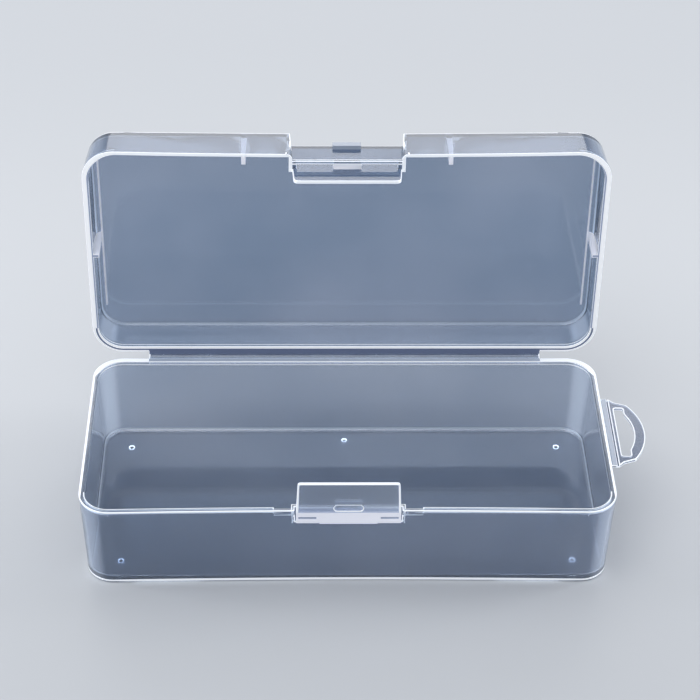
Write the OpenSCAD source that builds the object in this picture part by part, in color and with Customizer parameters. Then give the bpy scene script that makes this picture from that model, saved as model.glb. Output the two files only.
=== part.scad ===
// Clear hinged pen box moulded in one shot of polypropylene: a shallow tray, a lid on a film hinge,
// a snap latch flap and a fold-out hanging loop, each on a film hinge of its own.
// Millimetres. Origin: centre of the tray's flat underside. +X to the loop, +Y to the hinge, +Z up.

/* [Box] */
// Width across the rims
box_w = 189; // [150:1:240]
// Depth across the rims, front to back
box_d = 88; // [76:1:120]
// Radius of the four upright corners at the rims
corner_r = 11; // [8:0.5:16]
// Thickness of the moulded walls
wall = 1.2; // [0.9:0.1:1.6]
// How far the front walls bow inward at mid width
front_bow = 1; // [0.4:0.1:1.6]
// Gap that is left between the two rims when the box is shut
parting_gap = 0.1; // [0.05:0.05:0.3]

/* [Tray] */
// Height of the tray from its underside to its rim
tray_h = 34; // [28:1:60]
// How far each tray wall leans in from rim to floor
tray_draft = 1.35; // [0.5:0.05:2]
// Thickness of the tray floor
floor_t = 1.3; // [1:0.1:2]
// Width of the thickened tray rim
tray_rim_w = 2; // [1.75:0.05:2.4]
// Radius inside the tray where the floor meets the walls
tray_fillet = 2.2; // [1:0.1:4]
// Radius of the small edge under the tray
tray_edge = 0.6; // [0.3:0.1:1]
// Half width of the front stretch where the thick rim stops beside the latch
rim_stop_x = 26; // [24:0.5:34]

/* [Feet] */
// Diameter of the four moulded feet
foot_d = 2.2; // [1.6:0.1:4]
// Height of the feet under the tray
foot_h = 0.5; // [0.3:0.1:1]
// Distance of the feet from the middle, left and right
foot_x = 81.5; // [60:0.5:81.5]
// Distance of the feet from the middle, front and back
foot_y = 31.5; // [20:0.5:31.5]
// Diameter of the gate mark under the tray
gate_d = 2; // [1:0.1:3]
// Height of the gate mark
gate_h = 0.3; // [0.1:0.1:0.3]
// Distance of the gate mark behind the middle
gate_y = 35.6; // [30:0.1:36]

/* [Lid] */
// Height of the lid from its rim to its top
lid_h = 16; // [14:1:30]
// How far the lid stands out past the tray at each side; at the front it is twice as far
lid_over = 0.4; // [0:0.05:0.6]
// How far each lid wall leans in from rim to top
lid_draft = 1; // [0.2:0.05:1.5]
// Thickness of the lid panel
panel_t = 1.2; // [0.9:0.1:2]
// Width of the thickened lid rim at the sides and the hinge
lid_rim_w = 2.3; // [1.75:0.05:2.6]
// Radius inside the lid where the panel meets the walls
lid_fillet = 2.6; // [1:0.1:4]
// Radius of the outer edge round the lid panel
lid_edge = 1; // [0.4:0.1:1.5]
// Height of the thick rims of tray and lid
rim_h = 1.6; // [1:0.1:2.5]
// Angle that the lid stands open at
lid_open = 90; // [0:5:180]

/* [Lid ribs] */
// Distance of the two front ribs from the middle
front_rib_x = 37; // [30:0.5:60]
// How far the front ribs reach in from the lid's straight front plane
front_rib_reach = 5.2; // [4:0.1:8]
// How far the side ribs reach in from the lid's side planes
side_rib_reach = 4.4; // [3.5:0.1:8]
// Thickness of the ribs at the rim
rib_t = 1.5; // [1:0.1:2]
// Thickness of the ribs at the panel
rib_root_t = 2.2; // [2:0.1:3]

/* [Lid hinge] */
// Width of the film hinge between tray and lid
hinge_w = 148.4; // [100:0.2:160]
// Distance of the hinge line behind the rear walls
hinge_out = 1.8; // [1.6:0.1:3]
// Height of the tray flange that carries the hinge
tray_flange_h = 2.3; // [1.5:0.1:4]
// Thickness of the lid flange that carries the hinge
lid_flange_h = 1.3; // [1:0.1:3]
// Radius of the film bead on the hinge line
film_r = 0.3; // [0.2:0.05:0.4]
// Clearance between a film bead and the leaf that swings round it
film_gap = 0.25; // [0.15:0.05:0.4]

/* [Latch] */
// Width of the latch flap at its foot
flap_w = 36.6; // [28:0.2:36.6]
// How much narrower the flap is at its top, each side
flap_taper = 0.6; // [0:0.1:2]
// Height of the latch flap
flap_h = 17.8; // [16.4:0.2:18.2]
// Thickness of the latch flap
flap_t = 1.2; // [1:0.1:1.4]
// How far the flap stands proud of the straight front plane
flap_proud = 0.2; // [0:0.1:0.8]
// Height of the thick foot of the flap
flap_foot_h = 4.8; // [3:0.1:4.8]
// Radius of the flap's corners
flap_corner = 1; // [0.5:0.1:3]
// Clearance round the flap's foot in its recess
flap_gap = 0.3; // [0.2:0.05:0.6]
// Depth of the recess in the tray below its rim
recess_h = 5.1; // [4:0.1:7]
// How far the back of the recess lies behind the straight front plane
recess_in = 3.3; // [3:0.1:3.5]
// How much wider the recess is at the rim than at its floor, each side
recess_flare = 0.2; // [0.1:0.1:1]
// Radius of the upright edges where the front wall turns into the recess
recess_round = 0.8; // [0.5:0.1:1.2]
// Width of the film at the bottom of the flap
latch_film_w = 20.4; // [14:0.2:24]
// Thickness of the small shelf that carries the latch film
latch_shelf_t = 0.5; // [0.3:0.1:0.8]
// Length of the hook lug and of the recess on the flap's face
hook_w = 10.1; // [6:0.1:12]
// Height of the recess on the flap's face
pill_h = 2.6; // [2:0.1:3]
// Depth of the recess on the flap's face
pill_depth = 0.5; // [0.2:0.1:0.6]
// Height of the hook lug
hook_h = 1.7; // [1.2:0.1:2.4]
// How far the hook lug reaches over the lid's bar
hook_bite = 0.55; // [0.3:0.05:0.9]
// Clearance between the hook lug and the top of the bar
hook_gap = 0.15; // [0.1:0.05:0.3]
// Distance from the film's ends to the two relief grooves in the flap's foot
groove_out = 1.1; // [0.5:0.1:2]
// Length of the relief grooves
groove_w = 6.1; // [3:0.1:6.5]
// Height of the relief grooves
groove_h = 0.7; // [0.5:0.1:1.6]

/* [Lid notch] */
// How far the back of the notch lies behind the straight front plane
notch_in = 6.3; // [6:0.1:9]
// How much wider the notch is at its rim than the recess below it, each side
notch_out = 0.85; // [0.25:0.05:1.2]
// How much wider the notch is at the panel than at the rim, each side
notch_flare = 0.9; // [0.4:0.1:1.2]
// Radius of the upright edges where the front wall turns into the notch
notch_round = 2; // [1:0.1:2.5]
// Distance from the straight front plane to the front of the bar
bar_in = 3.05; // [3:0.05:3.3]
// Width of the bar, front to back
bar_w = 1.35; // [1.2:0.05:1.5]
// Height of the bar and its ledge
bar_h = 1.4; // [1:0.1:2]
// Half width of the tab between the two slots
slot_tab_x = 5.1; // [3:0.1:8]
// Length of each slot behind the bar
slot_w = 12.9; // [8:0.1:13]
// How far the tongue reaches below the lid rim
tongue_h = 7.7; // [4:0.1:12]
// Radius of the tongue's corners
tongue_round = 1.8; // [0.5:0.1:3]
// Half width of the thumb ledge
thumb_x = 5.15; // [4:0.05:10]
// How far the thumb ledge stands out
thumb_out = 1.5; // [1:0.1:2]
// Height of the thumb ledge
thumb_h = 2.5; // [1.5:0.1:4]

/* [Hanging loop] */
// Half length of the loop where it meets its hinge
loop_root_y = 19; // [17:0.5:22]
// Reach of the loop beyond the tray's side plane
loop_reach = 14.1; // [12.5:0.1:18]
// Radius of the loop's outer arc
loop_arc_r = 26; // [22:0.5:34]
// Width of the loop's bow
loop_bow_w = 3.9; // [3:0.1:5]
// Thickness of the loop
loop_t = 1.2; // [1:0.1:1.6]
// Distance of the loop's hinge line beyond the tray's side plane
loop_hinge_out = 2.2; // [2:0.1:3.5]
// Clearance between the loop and its film bead
loop_gap = 0.12; // [0.08:0.02:0.3]
// Width of the straight bar between the hinge line and the window
loop_bar_w = 2; // [1.2:0.1:2.5]
// Half length of the window
window_y = 13.7; // [11:0.1:14.5]
// Width of the window's two end bays
window_end_w = 3.5; // [3:0.1:4.5]
// Length of the window's two end bays
window_end_h = 3.7; // [2:0.1:5]
// Radius of the window's corners
window_round = 0.8; // [0.2:0.1:1.2]

/* [Hidden] */
$fn = 96;

// Facets of the very large cone that bows the front walls
bow_fn = 2400;
// A small overlap that joins two solids of one moulding
weld = 0.3;
// How far a cutter runs past what it cuts
clear = 2;
// How far inside the recess's rim its round edges start, so that they cut its leaning walls
edge_tuck = 0.05;

half_w = box_w / 2;
half_d = box_d / 2;
// Places of the corner centres
core_x = half_w - corner_r;
core_y = half_d - corner_r;
// Radius whose chord over the straight front has the bow as its height
bow_r = core_x * core_x / (2 * front_bow);
// Front face at mid width, where the latch is
front_y = -half_d + front_bow;
// The lid's straight front plane, and its front face at mid width
lid_plane_y = -half_d - 2 * lid_over;
lid_front_y = lid_plane_y + front_bow;

lid_rim_z = tray_h + parting_gap;
lid_top_z = tray_h + lid_h;
hinge_y = half_d + hinge_out;
// Distance from a hinge line to the flat back of its film bead
bead_back = film_r / 2;

recess_floor_z = tray_h - recess_h;
recess_y = -half_d + recess_in;
flap_x = flap_w / 2;
recess_floor_x = flap_x + flap_gap;
recess_rim_x = recess_floor_x + recess_flare;

flap_face_y = -half_d - flap_proud;
flap_back_y = flap_face_y + flap_t;
flap_z = recess_floor_z + flap_gap;
flap_foot_y = recess_y - flap_gap;
latch_y = flap_face_y + film_r;
latch_z = flap_z - film_gap;

notch_y = -half_d + notch_in;
notch_rim_x = recess_rim_x + notch_out;
notch_top_x = notch_rim_x + notch_flare;
bar_y = -half_d + bar_in;
bar_top_z = lid_rim_z + bar_h;
hook_z = bar_top_z + hook_gap;
hook_y = bar_y + hook_bite;
pill_z = hook_z + hook_h - pill_h / 2;

loop_axis_x = half_w + loop_hinge_out;
loop_low_z = tray_h - loop_t;
loop_axis_z = loop_low_z + film_r;
loop_near_x = loop_axis_x + film_r + loop_gap;
loop_centre_x = half_w + loop_reach - loop_arc_r;
window_x = loop_axis_x + loop_bar_w;

plastic = [0.78, 0.84, 0.92, 0.45];
frosted = [0.88, 0.91, 0.96, 0.7];

// Points along an arc about [cx, cy], from angle a0 to a1
function arc(cx, cy, r, a0, a1, n = 6) =
    [for (i = [0:n]) [cx + r * cos(a0 + (a1 - a0) * i / n), cy + r * sin(a0 + (a1 - a0) * i / n)]];

// Outer face of the tray wall at a height, measured out from the corner centres
function tray_u(z) = corner_r - tray_draft * (1 - z / tray_h);

// Outer face of the lid wall at a height, measured the same way
function lid_u(z) = corner_r + lid_over - lid_draft * (z - lid_rim_z) / (lid_top_z - lid_rim_z);

// A rounded rectangular block whose edge follows a profile of [out from the corner centres, height]
module block(profile) {
    mirrored = [for (i = [len(profile) - 1:-1:0]) [-profile[i][0], profile[i][1]]];
    for (x = [-core_x, core_x]) {
        for (y = [-core_y, core_y]) {
            translate([x, y, 0])
                rotate_extrude()
                    polygon(profile);
        }
    }
    rotate([90, 0, 0])
        linear_extrude(2 * core_y, center = true)
            spread(profile, mirrored, core_x);
    rotate([90, 0, 90])
        linear_extrude(2 * core_x, center = true)
            spread(profile, mirrored, core_y);
}

// The whole section across a block: the profile, the straight middle and the mirrored profile
module spread(profile, mirrored, reach) {
    polygon(concat(
        [for (p = profile) [p[0] + reach, p[1]]],
        [for (p = mirrored) [p[0] - reach, p[1]]]
    ));
}

// Everything in front of a bowed front face, moved back by a wall thickness
module bow_cut(face, back, z0, z1, lean0, lean1) {
    translate([0, face - bow_r, z0])
        cylinder(h = z1 - z0, r1 = bow_r + back + lean0, r2 = bow_r + back + lean1, $fn = bow_fn);
}

// The same cut along the tray's leaning front wall
module tray_bow(back) {
    lean = tray_draft * clear / tray_h;
    bow_cut(front_y, back, -clear, tray_h + clear, tray_draft + lean, -lean);
}

// The same cut along the lid's leaning front wall
module lid_bow(back) {
    lean = lid_draft * clear / (lid_top_z - lid_rim_z);
    bow_cut(lid_front_y, back, lid_rim_z - clear, lid_top_z + clear, -lean, lid_draft + lean);
}

// A prism with its section in the XZ plane, from one depth to another
module along_y(y0, y1) {
    translate([0, y1, 0])
        rotate([90, 0, 0])
            linear_extrude(y1 - y0)
                children();
}

// Section of the latch recess, grown by a margin
module recess_section(grow, top) {
    slope = recess_flare / recess_h;
    low = recess_floor_z - grow;
    low_x = recess_floor_x + grow - slope * grow;
    high_x = low_x + slope * (top - low);
    polygon([[-low_x, low], [low_x, low], [high_x, top], [-high_x, top]]);
}

// Section of the lid notch, grown by a margin
module notch_section(grow, low, top) {
    slope = notch_flare / (lid_top_z - lid_rim_z);
    low_x = notch_rim_x + grow + slope * (low - lid_rim_z);
    high_x = notch_rim_x + grow + slope * (top - lid_rim_z);
    polygon([[-low_x, low], [low_x, low], [high_x, top], [-high_x, top]]);
}

// Material outside the round edge where a front wall turns in beside the latch
module turned_edge(x, face, r, z0, z1) {
    for (side = [-1, 1]) {
        translate([side * x, face, z0])
            linear_extrude(z1 - z0)
                difference() {
                    translate([side * r / 2 - side * weld / 2, r / 2 - clear / 2])
                        square([r + weld, r + clear], center = true);
                    translate([side * r, r])
                        circle(r = r);
                }
    }
}

module tray_shell() {
    top_in = tray_u(tray_h) - tray_rim_w;
    under_rim = tray_h - rim_h;
    step = tray_rim_w - wall;
    inner = tray_u(floor_t) - wall;
    difference() {
        block(concat(
            [[0, 0]],
            arc(tray_u(0) - tray_edge, tray_edge, tray_edge, -90, 0),
            [[corner_r, tray_h], [0, tray_h]]
        ));
        tray_bow(0);
        difference() {
            block(concat(
                [[0, floor_t]],
                arc(inner - tray_fillet, floor_t + tray_fillet, tray_fillet, -90, 0),
                [[tray_u(under_rim - step) - wall, under_rim - step], [top_in, under_rim], [0, under_rim]]
            ));
            tray_bow(wall);
        }
        difference() {
            block([
                [0, under_rim - weld],
                [top_in, under_rim - weld],
                [top_in, tray_h + clear],
                [0, tray_h + clear],
            ]);
            tray_bow(tray_rim_w);
        }
        // The thick rim stops short of the latch
        translate([-rim_stop_x, front_y + wall, under_rim - step])
            cube([2 * rim_stop_x, tray_rim_w, rim_h + step + clear]);
    }
}

module base_tray() {
    color(plastic) {
        difference() {
            union() {
                tray_shell();
                // Walls round the latch recess
                along_y(front_y + wall / 2, recess_y + wall)
                    recess_section(wall, tray_h);
            }
            along_y(-half_d - clear, recess_y)
                recess_section(0, tray_h + clear);
            turned_edge(
                recess_rim_x - edge_tuck, front_y, recess_round,
                recess_floor_z + recess_h / 2, tray_h + clear
            );
        }
        // Flange that carries the lid hinge
        translate([-hinge_w / 2, half_d - weld, tray_h - tray_flange_h])
            cube([hinge_w, hinge_out - bead_back + weld, tray_flange_h]);
        // Flange that carries the hanging loop
        translate([half_w - weld, -loop_root_y, loop_low_z])
            cube([loop_hinge_out - bead_back + weld, 2 * loop_root_y, loop_t]);
        // Small shelf that carries the latch film
        translate([-latch_film_w / 2, latch_y + bead_back, latch_z - latch_shelf_t])
            cube([latch_film_w, front_y + wall / 2 - latch_y - bead_back, latch_shelf_t]);
        for (x = [-foot_x, foot_x]) {
            for (y = [-foot_y, foot_y]) {
                translate([x, y, -foot_h])
                    cylinder(d = foot_d, h = foot_h + weld);
            }
        }
        translate([0, gate_y, -gate_h])
            cylinder(d = gate_d, h = gate_h + weld);
    }
}

// A rounded block with the lid's outline, whose rear face is in line with the tray's
module lid_block(profile) {
    translate([0, -lid_over, 0])
        block(profile);
}

module lid_shell() {
    rim_out = lid_u(lid_rim_z);
    rim_in = rim_out - lid_rim_w;
    over_rim = lid_rim_z + rim_h;
    step = lid_rim_w - wall;
    ceiling = lid_top_z - panel_t;
    inner = lid_u(ceiling) - wall;
    difference() {
        lid_block(concat(
            [[0, lid_rim_z], [rim_out, lid_rim_z]],
            arc(lid_u(lid_top_z) - lid_edge, lid_top_z - lid_edge, lid_edge, 0, 90),
            [[0, lid_top_z]]
        ));
        lid_bow(0);
        difference() {
            lid_block(concat(
                [[0, over_rim], [rim_in, over_rim], [lid_u(over_rim + step) - wall, over_rim + step]],
                arc(inner - lid_fillet, ceiling - lid_fillet, lid_fillet, 0, 90),
                [[0, ceiling]]
            ));
            lid_bow(wall);
        }
        difference() {
            lid_block([
                [0, lid_rim_z - clear],
                [rim_in, lid_rim_z - clear],
                [rim_in, over_rim + weld],
                [0, over_rim + weld],
            ]);
            lid_bow(wall);
        }
        // The thick rim runs along the sides and the hinge; the front keeps its plain wall
        difference() {
            translate([0, 0, lid_rim_z - clear]) {
                translate([step - core_x, lid_plane_y, 0])
                    cube([2 * (core_x - step), corner_r, clear + rim_h + step]);
                for (side = [-1, 1]) {
                    translate([side * (core_x - step), -core_y - lid_over, 0])
                        cylinder(
                            h = clear + rim_h + step,
                            r1 = lid_u(lid_rim_z - clear) - wall,
                            r2 = lid_u(over_rim + step) - wall
                        );
                }
            }
            lid_bow(wall);
        }
    }
}

// A rib from a wall to its free edge, thicker at the panel than at the rim
module rib(length) {
    high = lid_top_z - panel_t + weld;
    along_y(0, length)
        polygon([
            [-rib_t / 2, lid_rim_z],
            [rib_t / 2, lid_rim_z],
            [rib_root_t / 2, high],
            [-rib_root_t / 2, high],
        ]);
}

// Tongue that slips behind the tray's recess when the box is shut
module tongue() {
    slope = notch_flare / (lid_top_z - lid_rim_z);
    tip_x = notch_rim_x - slope * tongue_h;
    tip_z = lid_rim_z - tongue_h;
    right = arc(tip_x - tongue_round, tip_z + tongue_round, tongue_round, -90, 0);
    left = arc(-tip_x + tongue_round, tip_z + tongue_round, tongue_round, 180, 270);
    along_y(notch_y, notch_y + wall)
        polygon(concat(left, right, [[notch_rim_x, lid_rim_z + weld], [-notch_rim_x, lid_rim_z + weld]]));
}

module lid_closed() {
    difference() {
        union() {
            lid_shell();
            // Walls round the notch and the two front ribs, all from the middle of the front wall
            difference() {
                union() {
                    along_y(lid_plane_y, notch_y + wall)
                        notch_section(wall, lid_rim_z, lid_top_z - lid_edge / 4);
                    for (side = [-1, 1]) {
                        translate([side * front_rib_x, lid_plane_y, 0])
                            rib(front_rib_reach);
                    }
                }
                lid_bow(wall / 2);
            }
        }
        along_y(-half_d - clear, notch_y)
            notch_section(0, lid_rim_z - clear, lid_top_z + clear);
        turned_edge(notch_rim_x, lid_front_y, notch_round, lid_rim_z - clear, lid_top_z + clear);
    }
    // Bar and ledge under the notch, with a slot each side of the middle tab
    difference() {
        along_y(bar_y, notch_y + weld)
            notch_section(weld, lid_rim_z, bar_top_z);
        for (side = [-1, 1]) {
            translate([side * (slot_tab_x + slot_w / 2), (bar_y + bar_w + notch_y) / 2, lid_rim_z])
                cube([slot_w, notch_y - bar_y - bar_w, 2 * bar_h + clear], center = true);
        }
    }
    tongue();
    // Thumb ledge at the top of the notch
    translate([-thumb_x, notch_y - thumb_out, lid_top_z - thumb_h])
        cube([2 * thumb_x, thumb_out + weld, thumb_h]);
    for (side = [-1, 1]) {
        translate([side * (half_w + lid_over - wall), 0, 0])
            rotate([0, 0, side * 90])
                rib(side_rib_reach - wall);
    }
    // Flange that meets the film hinge
    translate([-hinge_w / 2, half_d - weld, lid_rim_z])
        cube([hinge_w, hinge_out - film_r - film_gap + weld, lid_flange_h]);
}

module lid_cover() {
    color(plastic)
        translate([0, hinge_y, tray_h])
            rotate([-lid_open, 0, 0])
                translate([0, -hinge_y, -tray_h])
                    lid_closed();
}

// A film bead along X on its hinge line, with a flat back where it joins the piece that carries it
module bead(length) {
    rotate([0, 90, 0])
        intersection() {
            cylinder(r = film_r, h = length, center = true);
            translate([-film_r, -bead_back, -length / 2])
                cube([2 * film_r, film_r + bead_back, length]);
        }
}

module lid_hinge_film() {
    color(plastic)
        translate([0, hinge_y, tray_h])
            bead(hinge_w);
}

// Rounded slot outline, centred on the middle of the box
module pill(length, height, z) {
    for (side = [-1, 1]) {
        translate([side * (length - height) / 2, z])
            circle(d = height);
    }
    translate([-(length - height) / 2, z - height / 2])
        square([length - height, height]);
}

module flap_outline() {
    top = flap_z + flap_h;
    foot_top = flap_z + flap_foot_h;
    top_x = flap_x - flap_taper;
    polygon(concat(
        [[-flap_x, foot_top], [-flap_x, flap_z], [flap_x, flap_z], [flap_x, foot_top]],
        arc(top_x - flap_corner, top - flap_corner, flap_corner, 0, 90),
        arc(-top_x + flap_corner, top - flap_corner, flap_corner, 90, 180)
    ));
}

module latch_flap() {
    foot_top = flap_z + flap_foot_h;
    groove_x = latch_film_w / 2 + groove_out;
    color(frosted) {
        difference() {
            union() {
                along_y(flap_face_y, flap_back_y)
                    flap_outline();
                // Thick foot that closes the recess
                translate([-flap_x, flap_face_y, flap_z])
                    cube([flap_w, flap_foot_y - flap_face_y, flap_foot_h]);
                // Hook lug that snaps over the lid's bar
                along_y(flap_back_y - weld, hook_y)
                    pill(hook_w, hook_h, hook_z + hook_h / 2);
            }
            along_y(flap_face_y - clear, flap_face_y + pill_depth)
                pill(hook_w, pill_h, pill_z);
            for (side = [-1, 1]) {
                translate([side * (groove_x + groove_w / 2), flap_face_y, flap_z + flap_foot_h / 2])
                    cube([groove_w, flap_t, groove_h], center = true);
            }
            // Room for the film bead
            translate([0, latch_y, latch_z])
                rotate([0, 90, 0])
                    cylinder(r = film_r + film_gap, h = latch_film_w + flap_gap, center = true);
        }
    }
}

module latch_film() {
    color(frosted)
        translate([0, latch_y, latch_z])
            rotate([0, 0, 180])
                bead(latch_film_w);
}

// Outline of the loop, between its straight flared sides and its arc
module loop_outline() {
    flare_x = loop_near_x + 2;
    flare_y = loop_root_y - 2;
    far_x = half_w + loop_reach + clear;
    far_y = flare_y - 0.375 * (far_x - flare_x);
    intersection() {
        polygon([
            [loop_near_x, -loop_root_y],
            [flare_x, -flare_y],
            [far_x, -far_y],
            [far_x, far_y],
            [flare_x, flare_y],
            [loop_near_x, loop_root_y],
        ]);
        translate([loop_centre_x, 0])
            circle(r = loop_arc_r);
    }
}

// Window of the loop: a slice of a disc with a small bay at each end, its corners rounded
module loop_window() {
    offset(r = window_round)
        offset(delta = -window_round) {
            intersection() {
                translate([loop_centre_x, 0])
                    circle(r = loop_arc_r - loop_bow_w);
                translate([window_x, -window_y])
                    square([loop_reach, 2 * window_y]);
            }
            for (side = [-1, 1]) {
                translate([window_x, side * (window_y - window_end_h / 2) - window_end_h / 2])
                    square([window_end_w, window_end_h]);
            }
        }
}

module hang_loop() {
    color(plastic)
        translate([0, 0, loop_low_z])
            linear_extrude(loop_t)
                difference() {
                    loop_outline();
                    loop_window();
                }
}

module loop_film() {
    color(plastic)
        translate([loop_axis_x, 0, loop_axis_z])
            rotate([0, 0, -90])
                bead(2 * loop_root_y);
}

base_tray();
lid_cover();
lid_hinge_film();
latch_flap();
latch_film();
hang_loop();
loop_film();
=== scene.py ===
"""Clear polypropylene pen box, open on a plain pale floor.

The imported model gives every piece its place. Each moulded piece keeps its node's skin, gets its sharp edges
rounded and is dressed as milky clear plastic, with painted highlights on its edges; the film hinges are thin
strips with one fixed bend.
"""

import logging
import math
from dataclasses import dataclass
from enum import Enum

import bmesh
import bpy
from mathutils import Matrix, Vector


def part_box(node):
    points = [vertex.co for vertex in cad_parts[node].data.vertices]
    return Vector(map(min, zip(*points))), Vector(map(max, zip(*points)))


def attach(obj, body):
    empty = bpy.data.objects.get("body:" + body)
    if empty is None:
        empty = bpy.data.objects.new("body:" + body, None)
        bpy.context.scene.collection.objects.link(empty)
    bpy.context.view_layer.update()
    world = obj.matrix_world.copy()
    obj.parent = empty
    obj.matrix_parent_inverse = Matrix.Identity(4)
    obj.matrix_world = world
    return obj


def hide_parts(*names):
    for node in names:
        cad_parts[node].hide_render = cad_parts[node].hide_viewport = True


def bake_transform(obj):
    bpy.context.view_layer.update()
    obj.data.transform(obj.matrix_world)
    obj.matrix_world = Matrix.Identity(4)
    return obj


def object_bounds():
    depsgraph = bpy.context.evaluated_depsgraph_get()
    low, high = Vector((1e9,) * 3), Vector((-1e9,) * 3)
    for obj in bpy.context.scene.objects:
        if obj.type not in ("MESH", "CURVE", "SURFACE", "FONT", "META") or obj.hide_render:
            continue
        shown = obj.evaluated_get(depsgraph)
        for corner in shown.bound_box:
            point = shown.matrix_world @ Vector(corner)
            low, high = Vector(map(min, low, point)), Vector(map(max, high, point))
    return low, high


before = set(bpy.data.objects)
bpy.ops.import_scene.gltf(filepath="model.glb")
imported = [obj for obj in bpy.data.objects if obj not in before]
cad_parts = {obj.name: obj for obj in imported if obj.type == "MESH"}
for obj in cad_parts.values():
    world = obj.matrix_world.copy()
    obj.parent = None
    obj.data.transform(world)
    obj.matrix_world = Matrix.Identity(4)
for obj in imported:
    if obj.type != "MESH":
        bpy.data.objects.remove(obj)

MM = 0.001
CAD_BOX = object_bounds()
HINGE_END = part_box("lid_hinge_film")[1].x
RIM_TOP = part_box("base_tray")[1].z

# Share of a face's normal along an axis from which the face looks that way
FACING = 0.9
# Sockets of a Mix node that take and give colours
MIX_FIRST = 6
MIX_SECOND = 7
MIX_RESULT = 2

log = logging.getLogger("pen_box")

Colour = tuple[float, float, float]
Place = tuple[float, float, float]
Cut = tuple[Vector, Vector]
Value = bpy.types.NodeSocket | float | tuple[float, ...]


class Slot(Enum):
    """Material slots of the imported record."""

    CLEAR = "clear_plastic"
    FROSTED = "frosted_plastic"


class Body(Enum):
    """Bodies that the pieces ride on."""

    TRAY = "tray"
    LID = "lid"
    LATCH = "latch"
    LOOP = "loop"


class Coat(Enum):
    """Places in a moulding's list of materials."""

    WALL = 0
    # EDGE: white glowing strips along the edges, a painted highlight.
    EDGE = 1
    PALE = 2
    MILKY = 3
    # Small white glowing rings on the feet, a painted highlight.
    RING = 4
    # The lid's rim: painted highlight with a line of painted shade.
    RIM_LIGHT_SHADE = 5


class StripCoat(Enum):
    """Places in a film hinge's list of materials."""

    FILM = 0
    END = 1


class Sum(Enum):
    """Kinds of shader node that work something out."""

    NUMBER = "ShaderNodeMath"
    VECTOR = "ShaderNodeVectorMath"


# Shader nodes


def opaque(colour: Colour) -> tuple[float, float, float, float]:
    """Colour with full alpha, as a colour socket takes it."""
    return (*colour, 1.0)


def feed(tree: bpy.types.NodeTree, socket: bpy.types.NodeSocket, value: Value) -> None:
    """Set a socket to a value, or link it to the socket that gives the value.

    Args:
        tree: The nodes that it belongs to.
        socket: The socket.
        value: The value, or the socket that gives it.
    """
    if isinstance(value, bpy.types.NodeSocket):
        tree.links.new(value, socket)
    else:
        socket.default_value = value


def sum_node(tree: bpy.types.NodeTree, kind: Sum, operation: str, *values: Value) -> bpy.types.Node:
    """Add a node that works something out.

    Args:
        tree: The nodes to add it to.
        kind: Whether it takes numbers or vectors.
        operation: Name of what it does.
        values: What goes into its inputs, from the first on.

    Returns:
        The new node.
    """
    node = tree.nodes.new(kind.value)
    node.operation = operation
    for socket, value in zip(node.inputs, values):
        feed(tree, socket, value)
    return node


def number(tree: bpy.types.NodeTree, operation: str, *values: Value) -> bpy.types.NodeSocket:
    """Socket with the number that an operation on numbers gives."""
    return sum_node(tree, Sum.NUMBER, operation, *values).outputs["Value"]


def vector(tree: bpy.types.NodeTree, operation: str, *values: Value) -> bpy.types.NodeSocket:
    """Socket with the vector that an operation on vectors gives."""
    return sum_node(tree, Sum.VECTOR, operation, *values).outputs["Vector"]


def colour_mix(tree: bpy.types.NodeTree, factor: Value, first: Value, second: Value) -> bpy.types.NodeSocket:
    """Add a node that mixes two colours.

    Args:
        tree: The nodes to add it to.
        factor: Share of the second colour.
        first: First colour.
        second: Second colour.

    Returns:
        The socket with the mixed colour.
    """
    node = tree.nodes.new("ShaderNodeMix")
    node.data_type = "RGBA"
    feed(tree, node.inputs["Factor"], factor)
    feed(tree, node.inputs[MIX_FIRST], first)
    feed(tree, node.inputs[MIX_SECOND], second)
    return node.outputs[MIX_RESULT]


def placed(tree: bpy.types.NodeTree, group: bpy.types.NodeTree, **values: Value) -> bpy.types.Node:
    """Place a node group in a material with values of its own.

    Args:
        tree: The material's nodes.
        group: The node group.
        values: What goes into its named inputs; the others keep their defaults.

    Returns:
        The group's node.
    """
    node = tree.nodes.new("ShaderNodeGroup")
    node.node_tree = group
    for name, value in values.items():
        feed(tree, node.inputs[name], value)
    return node


def new_material(name: str) -> tuple[bpy.types.Material, bpy.types.NodeTree, bpy.types.Node]:
    """Start a material.

    Args:
        name: Its name.

    Returns:
        The material, its nodes and its shader.
    """
    material = bpy.data.materials.new(name)
    material.use_nodes = True
    return material, material.node_tree, material.node_tree.nodes["Principled BSDF"]


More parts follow.
